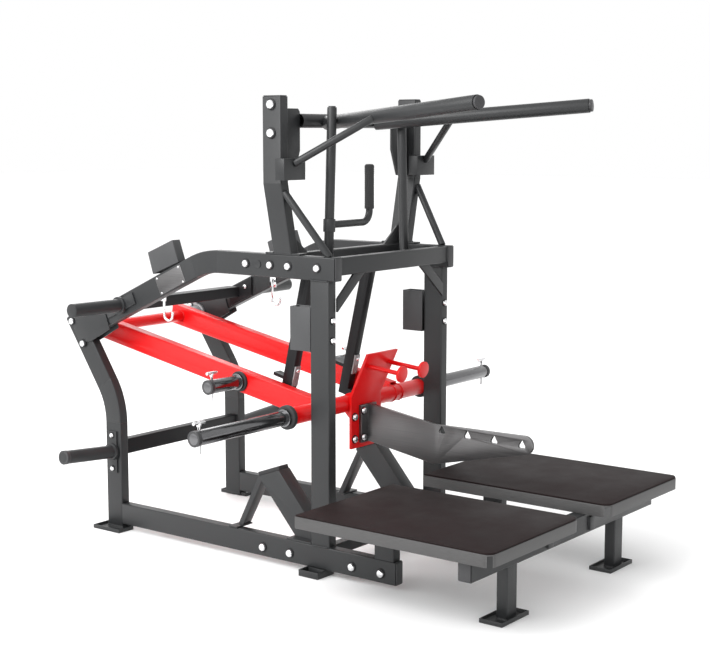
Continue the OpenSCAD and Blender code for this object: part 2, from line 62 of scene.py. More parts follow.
def placeCamera(s):
    data = bpy.data.cameras.new("studioCamera")
    data.lens = s["lens"]
    data.sensor_width = s["sensor"]
    data.clip_end = 100
    camera = bpy.data.objects.new("studioCamera", data)
    bpy.context.scene.collection.objects.link(camera)
    yaw, pitch = math.radians(s["yaw"]), math.radians(s["pitch"])
    ahead = Vector((math.cos(yaw) * math.cos(pitch), math.sin(yaw) * math.cos(pitch), math.sin(pitch)))
    camera.location = s["place"]
    camera.rotation_euler = ahead.to_track_quat("-Z", "Y").to_euler()
    bpy.context.scene.camera = camera


placeCamera(cameraSetup)


# small helpers for modelling

def pickOnly(piece):
    bpy.ops.object.select_all(action="DESELECT")
    piece.select_set(True)
    bpy.context.view_layer.objects.active = piece


def applied(piece, kind, **settings):
    modifier = piece.modifiers.new(kind.lower(), kind)
    for key, value in settings.items():
        setattr(modifier, key, value)
    pickOnly(piece)
    bpy.ops.object.modifier_apply(modifier=modifier.name)


def softEdges(piece, width, segments=2, angle=35):
    applied(piece, "BEVEL", width=width, segments=segments, limit_method="ANGLE",
            angle_limit=math.radians(angle), use_clamp_overlap=True)
    pickOnly(piece)
    bpy.ops.object.shade_smooth_by_angle(angle=math.radians(40))


def newCylinder(name, radius, depth, vertices=40):
    bpy.ops.object.select_all(action="DESELECT")
    bpy.ops.mesh.primitive_cylinder_add(vertices=vertices, radius=radius, depth=depth)
    piece = bpy.context.active_object
    piece.name = name
    return piece


def newBlock(name, low, high):
    bpy.ops.object.select_all(action="DESELECT")
    middle = [(a + b) / 2 for a, b in zip(low, high)]
    bpy.ops.mesh.primitive_cube_add(size=1, location=middle)
    piece = bpy.context.active_object
    piece.scale = [b - a for a, b in zip(low, high)]
    piece.name = name
    bpy.ops.object.transform_apply(location=True, rotation=True, scale=True)
    return piece


def pickFaces(piece, test):
    pickOnly(piece)
    bpy.ops.object.mode_set(mode="EDIT")
    bpy.ops.mesh.select_mode(type="FACE")
    bpy.ops.mesh.select_all(action="DESELECT")
    bpy.ops.object.mode_set(mode="OBJECT")
    for face in piece.data.polygons:
        face.select = test(face)
    bpy.ops.object.mode_set(mode="EDIT")


def leaveEdit():
    bpy.ops.object.mode_set(mode="OBJECT")


def copyTo(master, name, matrix):
    piece = master.copy()
    piece.data = master.data.copy()
    piece.name = name
    bpy.context.scene.collection.objects.link(piece)
    piece.matrix_world = Matrix.Identity(4)
    piece.data.transform(matrix)
    if matrix.determinant() < 0:
        piece.data.flip_normals()
    return piece


def joined(name, parts):
    bpy.ops.object.select_all(action="DESELECT")
    for part in parts:
        part.select_set(True)
    bpy.context.view_layer.objects.active = parts[0]
    bpy.ops.object.join()
    piece = bpy.context.active_object
    piece.name = name
    return piece


def settle(piece):
    pickOnly(piece)
    bpy.ops.object.transform_apply(location=True, rotation=True, scale=True)


def hand(piece, body, slot, finish, *replaced):
    piece.data.materials.clear()
    piece.data.materials.append(finish)
    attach(piece, body)
    if replaced:
        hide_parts(*replaced)
    return piece


def discard(piece):
    bpy.data.objects.remove(piece)


def looseParts(node):
    # corner pairs of a node's separate solids
    mesh = nodes[node].data
    keys = [tuple(round(c, 5) for c in v.co) for v in mesh.vertices]
    root = {k: k for k in keys}

    def find(k):
        while root[k] != k:
            root[k] = root[root[k]]
            k = root[k]
        return k

    for face in mesh.polygons:
        first = find(keys[face.vertices[0]])
        for index in face.vertices[1:]:
            root[find(keys[index])] = first
    groups = {}
    for k in set(keys):
        groups.setdefault(find(k), []).append(k)
    boxes = []
    for points in groups.values():
        low = Vector([min(p[i] for p in points) for i in range(3)])
        high = Vector([max(p[i] for p in points) for i in range(3)])
        boxes.append((low, high))
    return sorted(boxes, key=lambda b: tuple(round(c, 4) for c in b[0]))


# shader groups shared by the finishes

def startGroup(name, inputs, outputs):
    group = bpy.data.node_groups.new(name, "ShaderNodeTree")
    for label, kind, value in inputs:
        socket = group.interface.new_socket(label, in_out="INPUT", socket_type=kind)
        socket.default_value = value
    for label, kind in outputs:
        group.interface.new_socket(label, in_out="OUTPUT", socket_type=kind)
    return group, group.nodes.new("NodeGroupInput"), group.nodes.new("NodeGroupOutput")


def addNode(tree, kind, **settings):
    node = tree.nodes.new(kind)
    for key, value in settings.items():
        if key in node.inputs:
            node.inputs[key].default_value = value
        else:
            setattr(node, key, value)
    return node


def noiseOf(tree, scale, detail=2.0):
    place = addNode(tree, "ShaderNodeTexCoord")
    noise = addNode(tree, "ShaderNodeTexNoise", Detail=detail)
    if isinstance(scale, (int, float)):
        noise.inputs["Scale"].default_value = scale
    else:
        tree.links.new(scale, noise.inputs["Scale"])
    tree.links.new(place.outputs["Object"], noise.inputs["Vector"])
    return noise.outputs["Fac"]


def spread(tree, value, low, high, fromLow=0.3, fromHigh=0.7):
    ranged = addNode(tree, "ShaderNodeMapRange")
    tree.links.new(value, ranged.inputs["Value"])
    ranged.inputs["From Min"].default_value = fromLow
    ranged.inputs["From Max"].default_value = fromHigh
    for label, limit in (("To Min", low), ("To Max", high)):
        if isinstance(limit, (int, float)):
            ranged.inputs[label].default_value = limit
        else:
            tree.links.new(limit, ranged.inputs[label])
    return ranged.outputs["Result"]


def mathOf(tree, operation, a, b):
    node = addNode(tree, "ShaderNodeMath", operation=operation)
    for socket, value in ((node.inputs[0], a), (node.inputs[1], b)):
        if isinstance(value, (int, float)):
            socket.default_value = value
        else:
            tree.links.new(value, socket)
    return node.outputs[0]


def mixColour(tree, factor, a, b, blend="MIX"):
    node = addNode(tree, "ShaderNodeMix", data_type="RGBA", blend_type=blend)
    for socket, value in ((node.inputs[0], factor), (node.inputs[6], a), (node.inputs[7], b)):
        if isinstance(value, (int, float, tuple)):
            socket.default_value = value
        else:
            tree.links.new(value, socket)
    return node.outputs[2]


def grainGroup():
    # sprayed or moulded surface: fine grain in the normal, slow mottling in colour and gloss
    group, start, end = startGroup(
        "fineGrain",
        [("Colour", "NodeSocketColor", (0.1, 0.1, 0.1, 1)), ("Grain Scale", "NodeSocketFloat", 900.0),
         ("Grain Height", "NodeSocketFloat", 0.15), ("Mottle", "NodeSocketFloat", 0.12),
         ("Rough Low", "NodeSocketFloat", 0.4), ("Rough High", "NodeSocketFloat", 0.55)],
        [("Colour", "NodeSocketColor"), ("Roughness", "NodeSocketFloat"), ("Normal", "NodeSocketVector")])
    link = group.links.new
    grain = noiseOf(group, start.outputs["Grain Scale"], 1.0)
    bump = addNode(group, "ShaderNodeBump", Distance=0.0006)
    link(start.outputs["Grain Height"], bump.inputs["Strength"])
    link(grain, bump.inputs["Height"])
    slow = noiseOf(group, 7.0, 4.0)
    darker = mathOf(group, "SUBTRACT", 1.0, start.outputs["Mottle"])
    lighter = mathOf(group, "ADD", 1.0, start.outputs["Mottle"])
    tone = spread(group, slow, darker, lighter)
    fine = spread(group, grain, darker, lighter)
    shade = mathOf(group, "MULTIPLY", tone, fine)
    link(mixColour(group, 1.0, start.outputs["Colour"], shade, "MULTIPLY"), end.inputs["Colour"])
    link(spread(group, slow, start.outputs["Rough Low"], start.outputs["Rough High"]),
         end.inputs["Roughness"])
    link(bump.outputs["Normal"], end.inputs["Normal"])
    return group


def wearGroup():
    # paint thinned and rubbed along outer edges
    group, start, end = startGroup(
        "edgeWear",
        [("Colour", "NodeSocketColor", (0.1, 0.1, 0.1, 1)),
         ("Edge Colour", "NodeSocketColor", (0.3, 0.3, 0.3, 1)),
         ("Amount", "NodeSocketFloat", 0.4)],
        [("Colour", "NodeSocketColor"), ("Mask", "NodeSocketFloat")])
    link = group.links.new
    rounded = addNode(group, "ShaderNodeBevel", samples=4, Radius=0.0025)
    surface = addNode(group, "ShaderNodeNewGeometry")
    dot = addNode(group, "ShaderNodeVectorMath", operation="DOT_PRODUCT")
    link(rounded.outputs["Normal"], dot.inputs[0])
    link(surface.outputs["Normal"], dot.inputs[1])
    turned = mathOf(group, "SUBTRACT", 1.0, dot.outputs["Value"])
    edge = spread(group, turned, 0.0, 1.0, 0.01, 0.22)
    patchy = spread(group, noiseOf(group, 45.0, 3.0), 0.35, 1.0)
    mask = mathOf(group, "MULTIPLY", mathOf(group, "MULTIPLY", edge, patchy), start.outputs["Amount"])
    link(mixColour(group, mask, start.outputs["Colour"], start.outputs["Edge Colour"]), end.inputs["Colour"])
    link(mask, end.inputs["Mask"])
    return group


def dustAndTopLightGroup():
    # a light film on faces that look up: partly dust, partly painted light falling on the tops
    group, start, end = startGroup(
        "settledDustAndPaintedTopLight",
        [("Colour", "NodeSocketColor", (0.1, 0.1, 0.1, 1)),
         ("Dust Colour", "NodeSocketColor", (0.45, 0.44, 0.42, 1)),
         ("Amount", "NodeSocketFloat", 0.15)],
        [("Colour", "NodeSocketColor"), ("Mask", "NodeSocketFloat")])
    link = group.links.new
    surface = addNode(group, "ShaderNodeNewGeometry")
    split = addNode(group, "ShaderNodeSeparateXYZ")
    link(surface.outputs["Normal"], split.inputs[0])
    upward = spread(group, split.outputs["Z"], 0.0, 1.0, 0.4, 1.0)
    patchy = spread(group, noiseOf(group, 18.0, 5.0), 0.3, 1.0)
    mask = mathOf(group, "MULTIPLY", mathOf(group, "MULTIPLY", upward, patchy), start.outputs["Amount"])
    link(mixColour(group, mask, start.outputs["Colour"], start.outputs["Dust Colour"]), end.inputs["Colour"])
    link(mask, end.inputs["Mask"])
    return group


def brushGroup():
    # straight brush lines: noise squeezed across their run
    group, start, end = startGroup(
        "brushLines",
        [("Colour", "NodeSocketColor", (0.5, 0.5, 0.5, 1)),
         ("Stretch", "NodeSocketVector", (600.0, 6.0, 600.0)),
         ("Depth", "NodeSocketFloat", 0.12), ("Rough Low", "NodeSocketFloat", 0.22),
         ("Rough High", "NodeSocketFloat", 0.42)],
        [("Colour", "NodeSocketColor"), ("Roughness", "NodeSocketFloat"), ("Normal", "NodeSocketVector")])
    link = group.links.new
    place = addNode(group, "ShaderNodeTexCoord")
    stretched = addNode(group, "ShaderNodeVectorMath", operation="MULTIPLY")
    link(place.outputs["Object"], stretched.inputs[0])
    link(start.outputs["Stretch"], stretched.inputs[1])
    noise = addNode(group, "ShaderNodeTexNoise", Scale=1.0, Detail=3.0)
    link(stretched.outputs["Vector"], noise.inputs["Vector"])
    bump = addNode(group, "ShaderNodeBump", Distance=0.0003)
    link(start.outputs["Depth"], bump.inputs["Strength"])
    link(noise.outputs["Fac"], bump.inputs["Height"])
    slow = noiseOf(group, 9.0, 3.0)
    lines = spread(group, noise.outputs["Fac"], 0.86, 1.1)
    tone = mathOf(group, "MULTIPLY", lines, spread(group, slow, 0.94, 1.04))
    link(mixColour(group, 1.0, start.outputs["Colour"], tone, "MULTIPLY"), end.inputs["Colour"])
    link(spread(group, noise.outputs["Fac"], start.outputs["Rough Low"], start.outputs["Rough High"]),
         end.inputs["Roughness"])
    link(bump.outputs["Normal"], end.inputs["Normal"])
    return group


grain, wear, dustAndTopLight, brush = grainGroup(), wearGroup(), dustAndTopLightGroup(), brushGroup()
print("shader groups built")


# finishes

def startFinish(name, **shader):
    material = bpy.data.materials.new(name)
    material.use_nodes = True
    tree = material.node_tree
    surface = tree.nodes["Principled BSDF"]
    for label, value in shader.items():
        surface.inputs[label.replace("_", " ")].default_value = value
    return material, tree, surface


def useGroup(tree, group, **values):
    node = tree.nodes.new("ShaderNodeGroup")
    node.node_tree = group
    for label, value in values.items():
        node.inputs[label.replace("_", " ")].default_value = value
    return node


def coatedFinish(name, s):
    # grain, then rubbed edges, then dust and painted top light
    material, tree, surface = startFinish(name, **s["shader"])
    base = useGroup(tree, grain, Colour=s["colour"], Grain_Scale=s["grainScale"],
                    Grain_Height=s["grainHeight"], Mottle=s["mottle"],
                    Rough_Low=s["rough"][0], Rough_High=s["rough"][1])
    rubbed = useGroup(tree, wear, Edge_Colour=s["edgeColour"], Amount=s["edgeAmount"])
    film = useGroup(tree, dustAndTopLight, Dust_Colour=s["dustAndTopLightColour"], Amount=s["dustAndTopLightAmount"])
    tree.links.new(base.outputs["Colour"], rubbed.inputs["Colour"])
    tree.links.new(rubbed.outputs["Colour"], film.inputs["Colour"])
    tree.links.new(film.outputs["Colour"], surface.inputs["Base Color"])
    tree.links.new(base.outputs["Roughness"], surface.inputs["Roughness"])
    tree.links.new(base.outputs["Normal"], surface.inputs["Normal"])
    return material


def metalFinish(name, s):
    material, tree, surface = startFinish(name, **s["shader"])
    base = useGroup(tree, brush, Colour=s["colour"], Stretch=s["stretch"], Depth=s["depth"],
                    Rough_Low=s["rough"][0], Rough_High=s["rough"][1])
    rubbed = useGroup(tree, wear, Edge_Colour=s["edgeColour"], Amount=s["edgeAmount"])
    tree.links.new(base.outputs["Colour"], rubbed.inputs["Colour"])
    tree.links.new(rubbed.outputs["Colour"], surface.inputs["Base Color"])
    tree.links.new(base.outputs["Roughness"], surface.inputs["Roughness"])
    tree.links.new(base.outputs["Normal"], surface.inputs["Normal"])
    return material


graphitePaint = coatedFinish("graphitePaint", {
    "shader": {"Specular_IOR_Level": 0.42},
    "colour": (0.018, 0.019, 0.020, 1), "grainScale": 1400.0, "grainHeight": 0.22, "mottle": 0.05,
    "rough": (0.36, 0.46), "edgeColour": (0.09, 0.09, 0.095, 1), "edgeAmount": 0.45,
    "dustAndTopLightColour": (0.08, 0.08, 0.08, 1), "dustAndTopLightAmount": 0.10})

blackPaint = coatedFinish("blackPaint", {
    "shader": {"Specular_IOR_Level": 0.22},
    "colour": (0.008, 0.008, 0.009, 1), "grainScale": 1400.0, "grainHeight": 0.2, "mottle": 0.08,
    "rough": (0.34, 0.46), "edgeColour": (0.07, 0.07, 0.072, 1), "edgeAmount": 0.5,
    "dustAndTopLightColour": (0.06, 0.06, 0.06, 1), "dustAndTopLightAmount": 0.1})

coverPaint = coatedFinish("coverPaint", {
    "shader": {"Specular_IOR_Level": 0.45},
    "colour": (0.045, 0.046, 0.048, 1), "grainScale": 1100.0, "grainHeight": 0.2, "mottle": 0.05,
    "rough": (0.4, 0.5), "edgeColour": (0.14, 0.14, 0.145, 1), "edgeAmount": 0.4,
    "dustAndTopLightColour": (0.12, 0.12, 0.12, 1), "dustAndTopLightAmount": 0.1})

signalRed = coatedFinish("signalRed", {
    "shader": {"Specular_IOR_Level": 0.32, "Coat_Weight": 0.06, "Coat_Roughness": 0.15},
    "colour": (0.70, 0.004, 0.005, 1), "grainScale": 1100.0, "grainHeight": 0.12, "mottle": 0.03,
    "rough": (0.28, 0.38), "edgeColour": (0.75, 0.06, 0.05, 1), "edgeAmount": 0.4,
    # the pink film on faces that look up is painted light on the tops, not dust
    "dustAndTopLightColour": (0.6, 0.05, 0.05, 1), "dustAndTopLightAmount": 0.10})

mouldedRubber = coatedFinish("mouldedRubber", {
    "shader": {"Specular_IOR_Level": 0.4},
    "colour": (0.022, 0.022, 0.023, 1), "grainScale": 700.0, "grainHeight": 0.3, "mottle": 0.15,
    "rough": (0.55, 0.75), "edgeColour": (0.09, 0.09, 0.09, 1), "edgeAmount": 0.35,
    "dustAndTopLightColour": (0.3, 0.29, 0.28, 1), "dustAndTopLightAmount": 0.14})

# black rubber; the red tint of its colour and of its film on faces that look up is a painted red reflection
matRubberWithPaintedRedReflection = coatedFinish("matRubberWithPaintedRedReflection", {
    "shader": {"Specular_IOR_Level": 0.12},
    "colour": (0.012, 0.007, 0.007, 1), "grainScale": 500.0, "grainHeight": 0.5, "mottle": 0.18,
    "rough": (0.58, 0.72), "edgeColour": (0.05, 0.05, 0.05, 1), "edgeAmount": 0.4,
    "dustAndTopLightColour": (0.03, 0.022, 0.022, 1), "dustAndTopLightAmount": 0.16})

capPlastic = coatedFinish("capPlastic", {
    "shader": {"Specular_IOR_Level": 0.5},
    "colour": (0.03, 0.03, 0.032, 1), "grainScale": 900.0, "grainHeight": 0.18, "mottle": 0.08,
    "rough": (0.42, 0.55), "edgeColour": (0.12, 0.12, 0.12, 1), "edgeAmount": 0.3,
    "dustAndTopLightColour": (0.3, 0.3, 0.3, 1), "dustAndTopLightAmount": 0.08})

brushedSteel = metalFinish("brushedSteel", {
    "shader": {"Metallic": 0.9}, "colour": (0.145, 0.142, 0.143, 1), "stretch": (500.0, 5.0, 500.0),
    "depth": 0.25, "rough": (0.30, 0.46), "edgeColour": (0.85, 0.85, 0.86, 1), "edgeAmount": 0.5})

satinSheet = metalFinish("satinSheet", {
    "shader": {"Specular_IOR_Level": 0.4},
    "colour": (0.062, 0.061, 0.061, 1), "stretch": (40.0, 40.0, 500.0),
    "depth": 0.08, "rough": (0.36, 0.5), "edgeColour": (0.22, 0.22, 0.22, 1), "edgeAmount": 0.6})

hardChrome = metalFinish("hardChrome", {
    "shader": {"Metallic": 1.0}, "colour": (0.17, 0.17, 0.175, 1), "stretch": (60.0, 700.0, 700.0),
    "depth": 0.06, "rough": (0.14, 0.24), "edgeColour": (0.9, 0.9, 0.9, 1), "edgeAmount": 0.3})

brightChrome = metalFinish("brightChrome", {
    "shader": {"Metallic": 1.0}, "colour": (0.86, 0.86, 0.87, 1), "stretch": (200.0, 200.0, 200.0),
    "depth": 0.03, "rough": (0.07, 0.16), "edgeColour": (0.95, 0.95, 0.95, 1), "edgeAmount": 0.2})

castSteel = coatedFinish("castSteel", {
    "shader": {"Metallic": 0.7},
    "colour": (0.28, 0.28, 0.285, 1), "grainScale": 500.0, "grainHeight": 0.4, "mottle": 0.12,
    "rough": (0.4, 0.55), "edgeColour": (0.6, 0.6, 0.6, 1), "edgeAmount": 0.5,
    "dustAndTopLightColour": (0.4, 0.4, 0.4, 1), "dustAndTopLightAmount": 0.1})
print("finishes built")


# every CAD node gets its finish, and the sheet and tube work gets small rounded edges

finishOf = {
    graphitePaint: [
        "base_rail_left", "base_rail_right", "rear_leg_left", "rear_leg_right", "front_upright_left",
        "front_upright_right", "top_beam_left", "top_beam_right", "column_left", "column_right",
        "front_crossbeam", "lower_crossmember", "column_tie", "upper_cross_tube", "column_gussets",
        "column_brackets", "post_left", "post_right", "handle_bar_left", "handle_bar_right", "bar_struts",
        "lock_handle", "storage_horns", "joint_gussets", "platform_front_tube", "platform_legs", "feet",
        "bumper_brackets"],
    blackPaint: ["catch_left", "catch_right", "rear_crossmember"],
    coverPaint: ["upright_covers", "beam_guards"],
    signalRed: ["lever_arm_left", "lever_arm_right", "catch_lugs", "lever_pivot_tube", "lever_cross_tube",
                "belt_bracket", "bracket_pegs"],
    mouldedRubber: ["bumper_pads", "plate_stops", "lock_grip"],
    matRubberWithPaintedRedReflection: ["platform_mats"],
    capPlastic: ["end_caps"],
    brushedSteel: ["belt_arm", "blank_plates"],
    satinSheet: ["platform_left", "platform_right"],
    castSteel: ["pivot_bearings"],
    hardChrome: ["pivot_shaft", "weight_sleeves", "short_sleeves"],
    brightChrome: ["lock_pin_left", "lock_pin_right", "short_pin_left", "short_pin_right",
                   "belt_hooks", "frame_bolts", "lever_bolts"],
}


def dressNodes(edge):
    for finish, names in finishOf.items():
        for name in names:
            node = nodes[name]
            node.data.materials.clear()
            node.data.materials.append(finish)
            weld = node.modifiers.new("weld", "WELD")
            weld.merge_threshold = 0.00001
            flat = node.modifiers.new("flat", "DECIMATE")
            flat.decimate_type = "DISSOLVE"
            flat.angle_limit = math.radians(0.5)
            bevel = node.modifiers.new("bevel", "BEVEL")
            bevel.width = edge
            bevel.segments = 2
            bevel.limit_method = "ANGLE"
            bevel.angle_limit = math.radians(40)
            pickOnly(node)
            bpy.ops.object.shade_smooth_by_angle(angle=math.radians(35))


dressNodes(0.0012)
print("CAD nodes dressed")


# bolts and washers

boltStyle = {
    "drawn": 1.15,        # width of a bolt as the frame has it, in shanks
    "washerRadius": 0.75,
    "washerHeight": 0.1,
    "washerEdge": 0.035,
    "headRadius": 0.6,
    "headHeight": 0.46,
    "dome": 0.4,
    "bearingInset": 0.012,   # from the housing's outer end to its flange
    "rearMost": 0.9,         # bolts behind this hold the pivot's housings
    "plate": 0.008,          # end plate of the tube between the sloping beams
    "plateAlong": 0.032,
    "plateDown": 0.040,
    "plateBolt": 0.016,
}


def boltMasters(s):
    # made for a shank of diameter 1 and standing on Z = 0, so a copy's scale is its diameter
    washer = newCylinder("washerMaster", s["washerRadius"], s["washerHeight"])
    bpy.ops.transform.translate(value=(0, 0, s["washerHeight"] / 2))
    settle(washer)
    softEdges(washer, s["washerEdge"], 2)
    head = newCylinder("headMaster", s["headRadius"], s["headHeight"])
    top = s["washerHeight"] + s["headHeight"]
    bpy.ops.transform.translate(value=(0, 0, top - s["headHeight"] / 2))
    settle(head)
    pickFaces(head, lambda face: face.center.z > top - 0.001)
    bpy.ops.mesh.bevel(offset=s["dome"], segments=8, affect="EDGES")
    leaveEdit()
    bpy.ops.object.shade_smooth_by_angle(angle=math.radians(50))
    return washer, head


def seatOf(low, high):
    # where a bolt's washer seats, which way its head points, and its shank's diameter
    size, middle = high - low, (low + high) / 2
    shank = size.z / boltStyle["drawn"]
    if size.x < min(size.y, size.z):
        out = -1 if middle.x < 0 else 1
        inner = high.x if out < 0 else low.x
        return Vector((inner, middle.y, middle.z)), Vector((out, 0, 0)), shank
    return Vector((middle.x, high.y, middle.z)), Vector((0, -1, 0)), shank


def bearingSeats(seats, s):
    # the same bolts again on the inner side of the pivot's housings
    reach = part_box("pivot_bearings")[1].x - s["bearingInset"]
    return [(Vector((out.x * reach, place.y, place.z)), -out, size)
            for place, out, size in seats if place.y > s["rearMost"]]


def plateSeats(s):
    # one bolt on each end plate of the upper rear tube
    low, high = max(looseParts("rear_crossmember"), key=lambda box: box[1].z)
    y, z = low.y + s["plateAlong"], high.z - s["plateDown"]
    return [(Vector((side * (high.x - s["plate"]), y, z)), Vector((-side, 0, 0)), s["plateBolt"])
            for side in (-1, 1)]


def standing(place, out, scale):
    turn = Vector(out).to_track_quat("Z", "Y").to_matrix().to_4x4()
    return Matrix.Translation(place) @ turn @ Matrix.Diagonal((scale, scale, scale, 1))


def placeBolts(name, seats, body, masters, replaced):
    washer, head = masters
    washers = [copyTo(washer, "part", standing(*seat)) for seat in seats]
    heads = [copyTo(head, "part", standing(*seat)) for seat in seats]
    hand(joined(name + "Washers", washers), body, "frame_paint", blackPaint)
    hand(joined(name + "Heads", heads), body, "chrome", brightChrome, replaced)


masters = boltMasters(boltStyle)
frameSeats = [seatOf(*box) for box in looseParts("frame_bolts")]
leverSeats = [seatOf(*box) for box in looseParts("lever_bolts")]
extraSeats = bearingSeats(frameSeats, boltStyle) + plateSeats(boltStyle)
placeBolts("frameBolts", frameSeats + extraSeats, "frame", masters, "frame_bolts")
placeBolts("leverBolts", leverSeats, "lever", masters, "lever_bolts")


# painted plug between the two rear bolts of each top beam

plugStyle = {"radius": 0.013, "height": 0.003, "rim": 0.003, "sink": -0.001, "edge": 0.0006, "proud": 0.001}


def beamPlugs(s):
    plugs = []
    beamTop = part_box("top_beam_left")[1].z
    for side in (-1, 1):
        seats = sorted((place for place, out, size in frameSeats
                        if place.x * side > 0 and out.x and beamTop - 0.09 < place.z < beamTop),
                       key=lambda place: place.y)
        place = (seats[-1] + seats[-2]) / 2
        plug = newCylinder("plug", s["radius"], s["height"], 32)
        pickFaces(plug, lambda face: face.center.z > s["height"] / 3)
        bpy.ops.mesh.inset(thickness=s["rim"], depth=s["sink"])
        leaveEdit()
        softEdges(plug, s["edge"], 2)
        spot = standing(place + Vector((side * s["proud"], 0, 0)), (side, 0, 0), 1)
        plugs.append(copyTo(plug, "part", spot))
        discard(plug)
    hand(joined("beamPlugs", plugs), "frame", "frame_paint", graphitePaint)


beamPlugs(plugStyle)
print("bolts placed")


# weld beads

beadStyle = {"length": 0.04, "ripples": 12, "radius": 0.0032, "dip": 0.82, "sides": 8, "round": 16}
weldPlaces = {
    "corner": 0.006,      # beads stop short of a tube's corners
    "end": 0.005,
    "columnFoot": 0.035,  # from the foot plate's edge to the column
    "footPlate": 0.006,
    "barDeep": 0.04,
    "barHigh": 0.06,
}


def beadMaster(s):
    bpy.ops.object.select_all(action="DESELECT")
    bpy.ops.mesh.primitive_circle_add(vertices=s["sides"], radius=s["radius"], fill_type="NGON")
    bead = bpy.context.active_object
    bead.name = "beadMaster"
    pickFaces(bead, lambda face: True)
    step = s["length"] / s["ripples"] / 2
    for ring in range(s["ripples"] * 2):
        bpy.ops.mesh.extrude_region_move(TRANSFORM_OT_translate={"value": (0, 0, step)})
        grow = s["dip"] if ring % 2 == 0 else 1 / s["dip"]
        bpy.ops.transform.resize(value=(grow, grow, 1), center_override=(0, 0, step * (ring + 1)))
    bpy.ops.mesh.select_all(action="SELECT")
    bpy.ops.mesh.normals_make_consistent(inside=False)
    leaveEdit()
    bpy.ops.object.shade_smooth()
    return bead


def beadLine(master, start, end):
    start, end = Vector(start), Vector(end)
    length = beadStyle["length"]
    count = max(1, round((end - start).length / length))
    step = (end - start) / count
    turn = step.to_track_quat("Z", "Y").to_matrix().to_4x4()
    stretch = Matrix.Diagonal((1, 1, step.length / length, 1))
    return [copyTo(master, "part", Matrix.Translation(start + step * i) @ turn @ stretch)
            for i in range(count)]


def beadRing(master, middle, axis, radius):
    # beads laid round a tube
    middle = Vector(middle)
    turn = Vector(axis).to_track_quat("Z", "Y")
    count = beadStyle["round"]
    corners = []
    for i in range(count + 1):
        angle = 2 * math.pi * i / count
        corners.append(middle + turn @ Vector((radius * math.cos(angle), radius * math.sin(angle), 0)))
    parts = []
    for start, end in zip(corners, corners[1:]):
        parts += beadLine(master, start, end)
    return parts


def uprightWelds(master, side, s):
    # the upright's four edges on the rail and under the beam
    low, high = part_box("front_upright_" + side)
    parts = []
    for x in (low.x, high.x):
        for z in (low.z, high.z):
            parts += beadLine(master, (x, low.y + s["corner"], z), (x, high.y - s["corner"], z))
    for y in (low.y, high.y):
        for z in (low.z, high.z):
            parts += beadLine(master, (low.x + s["end"], y, z), (high.x - s["end"], y, z))
    return parts


def columnWelds(master, side, s):
    # the column's front and back edges on its foot plate
    low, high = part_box("column_" + side)
    inner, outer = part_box("front_upright_" + side)
    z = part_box("top_beam_left")[1].z + s["footPlate"]
    parts = []
    for y in (low.y + s["columnFoot"], high.y - s["columnFoot"]):
        parts += beadLine(master, (inner.x, y, z), (outer.x, y, z))
    return parts


def barWelds(master, bar, s):
    # an upright bead at each end of a bar, on its front face
    low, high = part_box(bar)
    if bar == "rear_crossmember":              # only its lower tube, between the legs
        low, high = min(looseParts(bar), key=lambda box: box[0].z)
    if bar in ("front_crossbeam", "column_tie"):
        low = Vector((low.x, high.y - s["barDeep"], high.z - s["barHigh"]))
    parts = []
    for x in (low.x, high.x):
        parts += beadLine(master, (x, low.y, low.z + s["end"]), (x, low.y, high.z - s["end"]))
    return parts


def frameWelds(master, s):
    parts = []
    for side in ("left", "right"):
        parts += uprightWelds(master, side, s)
        parts += columnWelds(master, side, s)
    for bar in ("front_crossbeam", "rear_crossmember", "lower_crossmember", "column_tie"):
        parts += barWelds(master, bar, s)
    return parts


def leverWelds(master):
    # both cross tubes where they pass through the arms
    parts = []
    for tube in ("lever_cross_tube", "lever_pivot_tube"):
        low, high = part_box(tube)
        middle = (low + high) / 2
        radius = (high.z - low.z) / 2
        for side in ("left", "right"):
            for x in (corner.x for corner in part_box("lever_arm_" + side)):
                parts += beadRing(master, (x, middle.y, middle.z), (1, 0, 0), radius)
    return parts


bead = beadMaster(beadStyle)
hand(joined("frameWelds", frameWelds(bead, weldPlaces)), "frame", "frame_paint", graphitePaint)
hand(joined("leverWelds", leverWelds(bead)), "lever", "lever_paint", signalRed)
discard(bead)
print("welds laid")


# plate sleeves and storage horns: end caps and collars

capStyle = {
    "over": 0.0012,       # how much wider than the sleeve
    "reach": 0.016,
    "rim": 0.32,          # in sleeve radii, like the face
    "dish": -0.0025,
    "edge": 0.0016,
    "face": 0.66,
    "faceDeep": 0.006,
    "dome": 0.0028,
    "sunk": 0.0045,
    "back": 0.0075,
    "hornLength": 0.2335,
}
collarStyle = {"radius": 0.0305, "width": 0.010, "groove": 0.0025, "sink": -0.0012, "edge": 0.0008}


def endCap(radius, s):
    # black ring with a bright domed face, pointing up
    ring = newCylinder("ring", radius + s["over"], s["reach"], 48)
    pickFaces(ring, lambda face: abs(face.normal.z) > 0.9 and face.center.z > 0)
    bpy.ops.mesh.inset(thickness=radius * s["rim"], depth=0)
    bpy.ops.mesh.extrude_region_move(TRANSFORM_OT_translate={"value": (0, 0, s["dish"])})
    leaveEdit()
    softEdges(ring, s["edge"], 3)
    face = newCylinder("face", radius * s["face"], s["faceDeep"], 48)
    pickFaces(face, lambda f: f.center.z > s["faceDeep"] / 3)
    bpy.ops.mesh.bevel(offset=s["dome"], segments=4, affect="EDGES")
    leaveEdit()
    bpy.ops.object.shade_smooth_by_angle(angle=math.radians(40))
    face.data.transform(Matrix.Translation((0, 0, s["reach"] / 2 - s["sunk"])))
    return ring, face


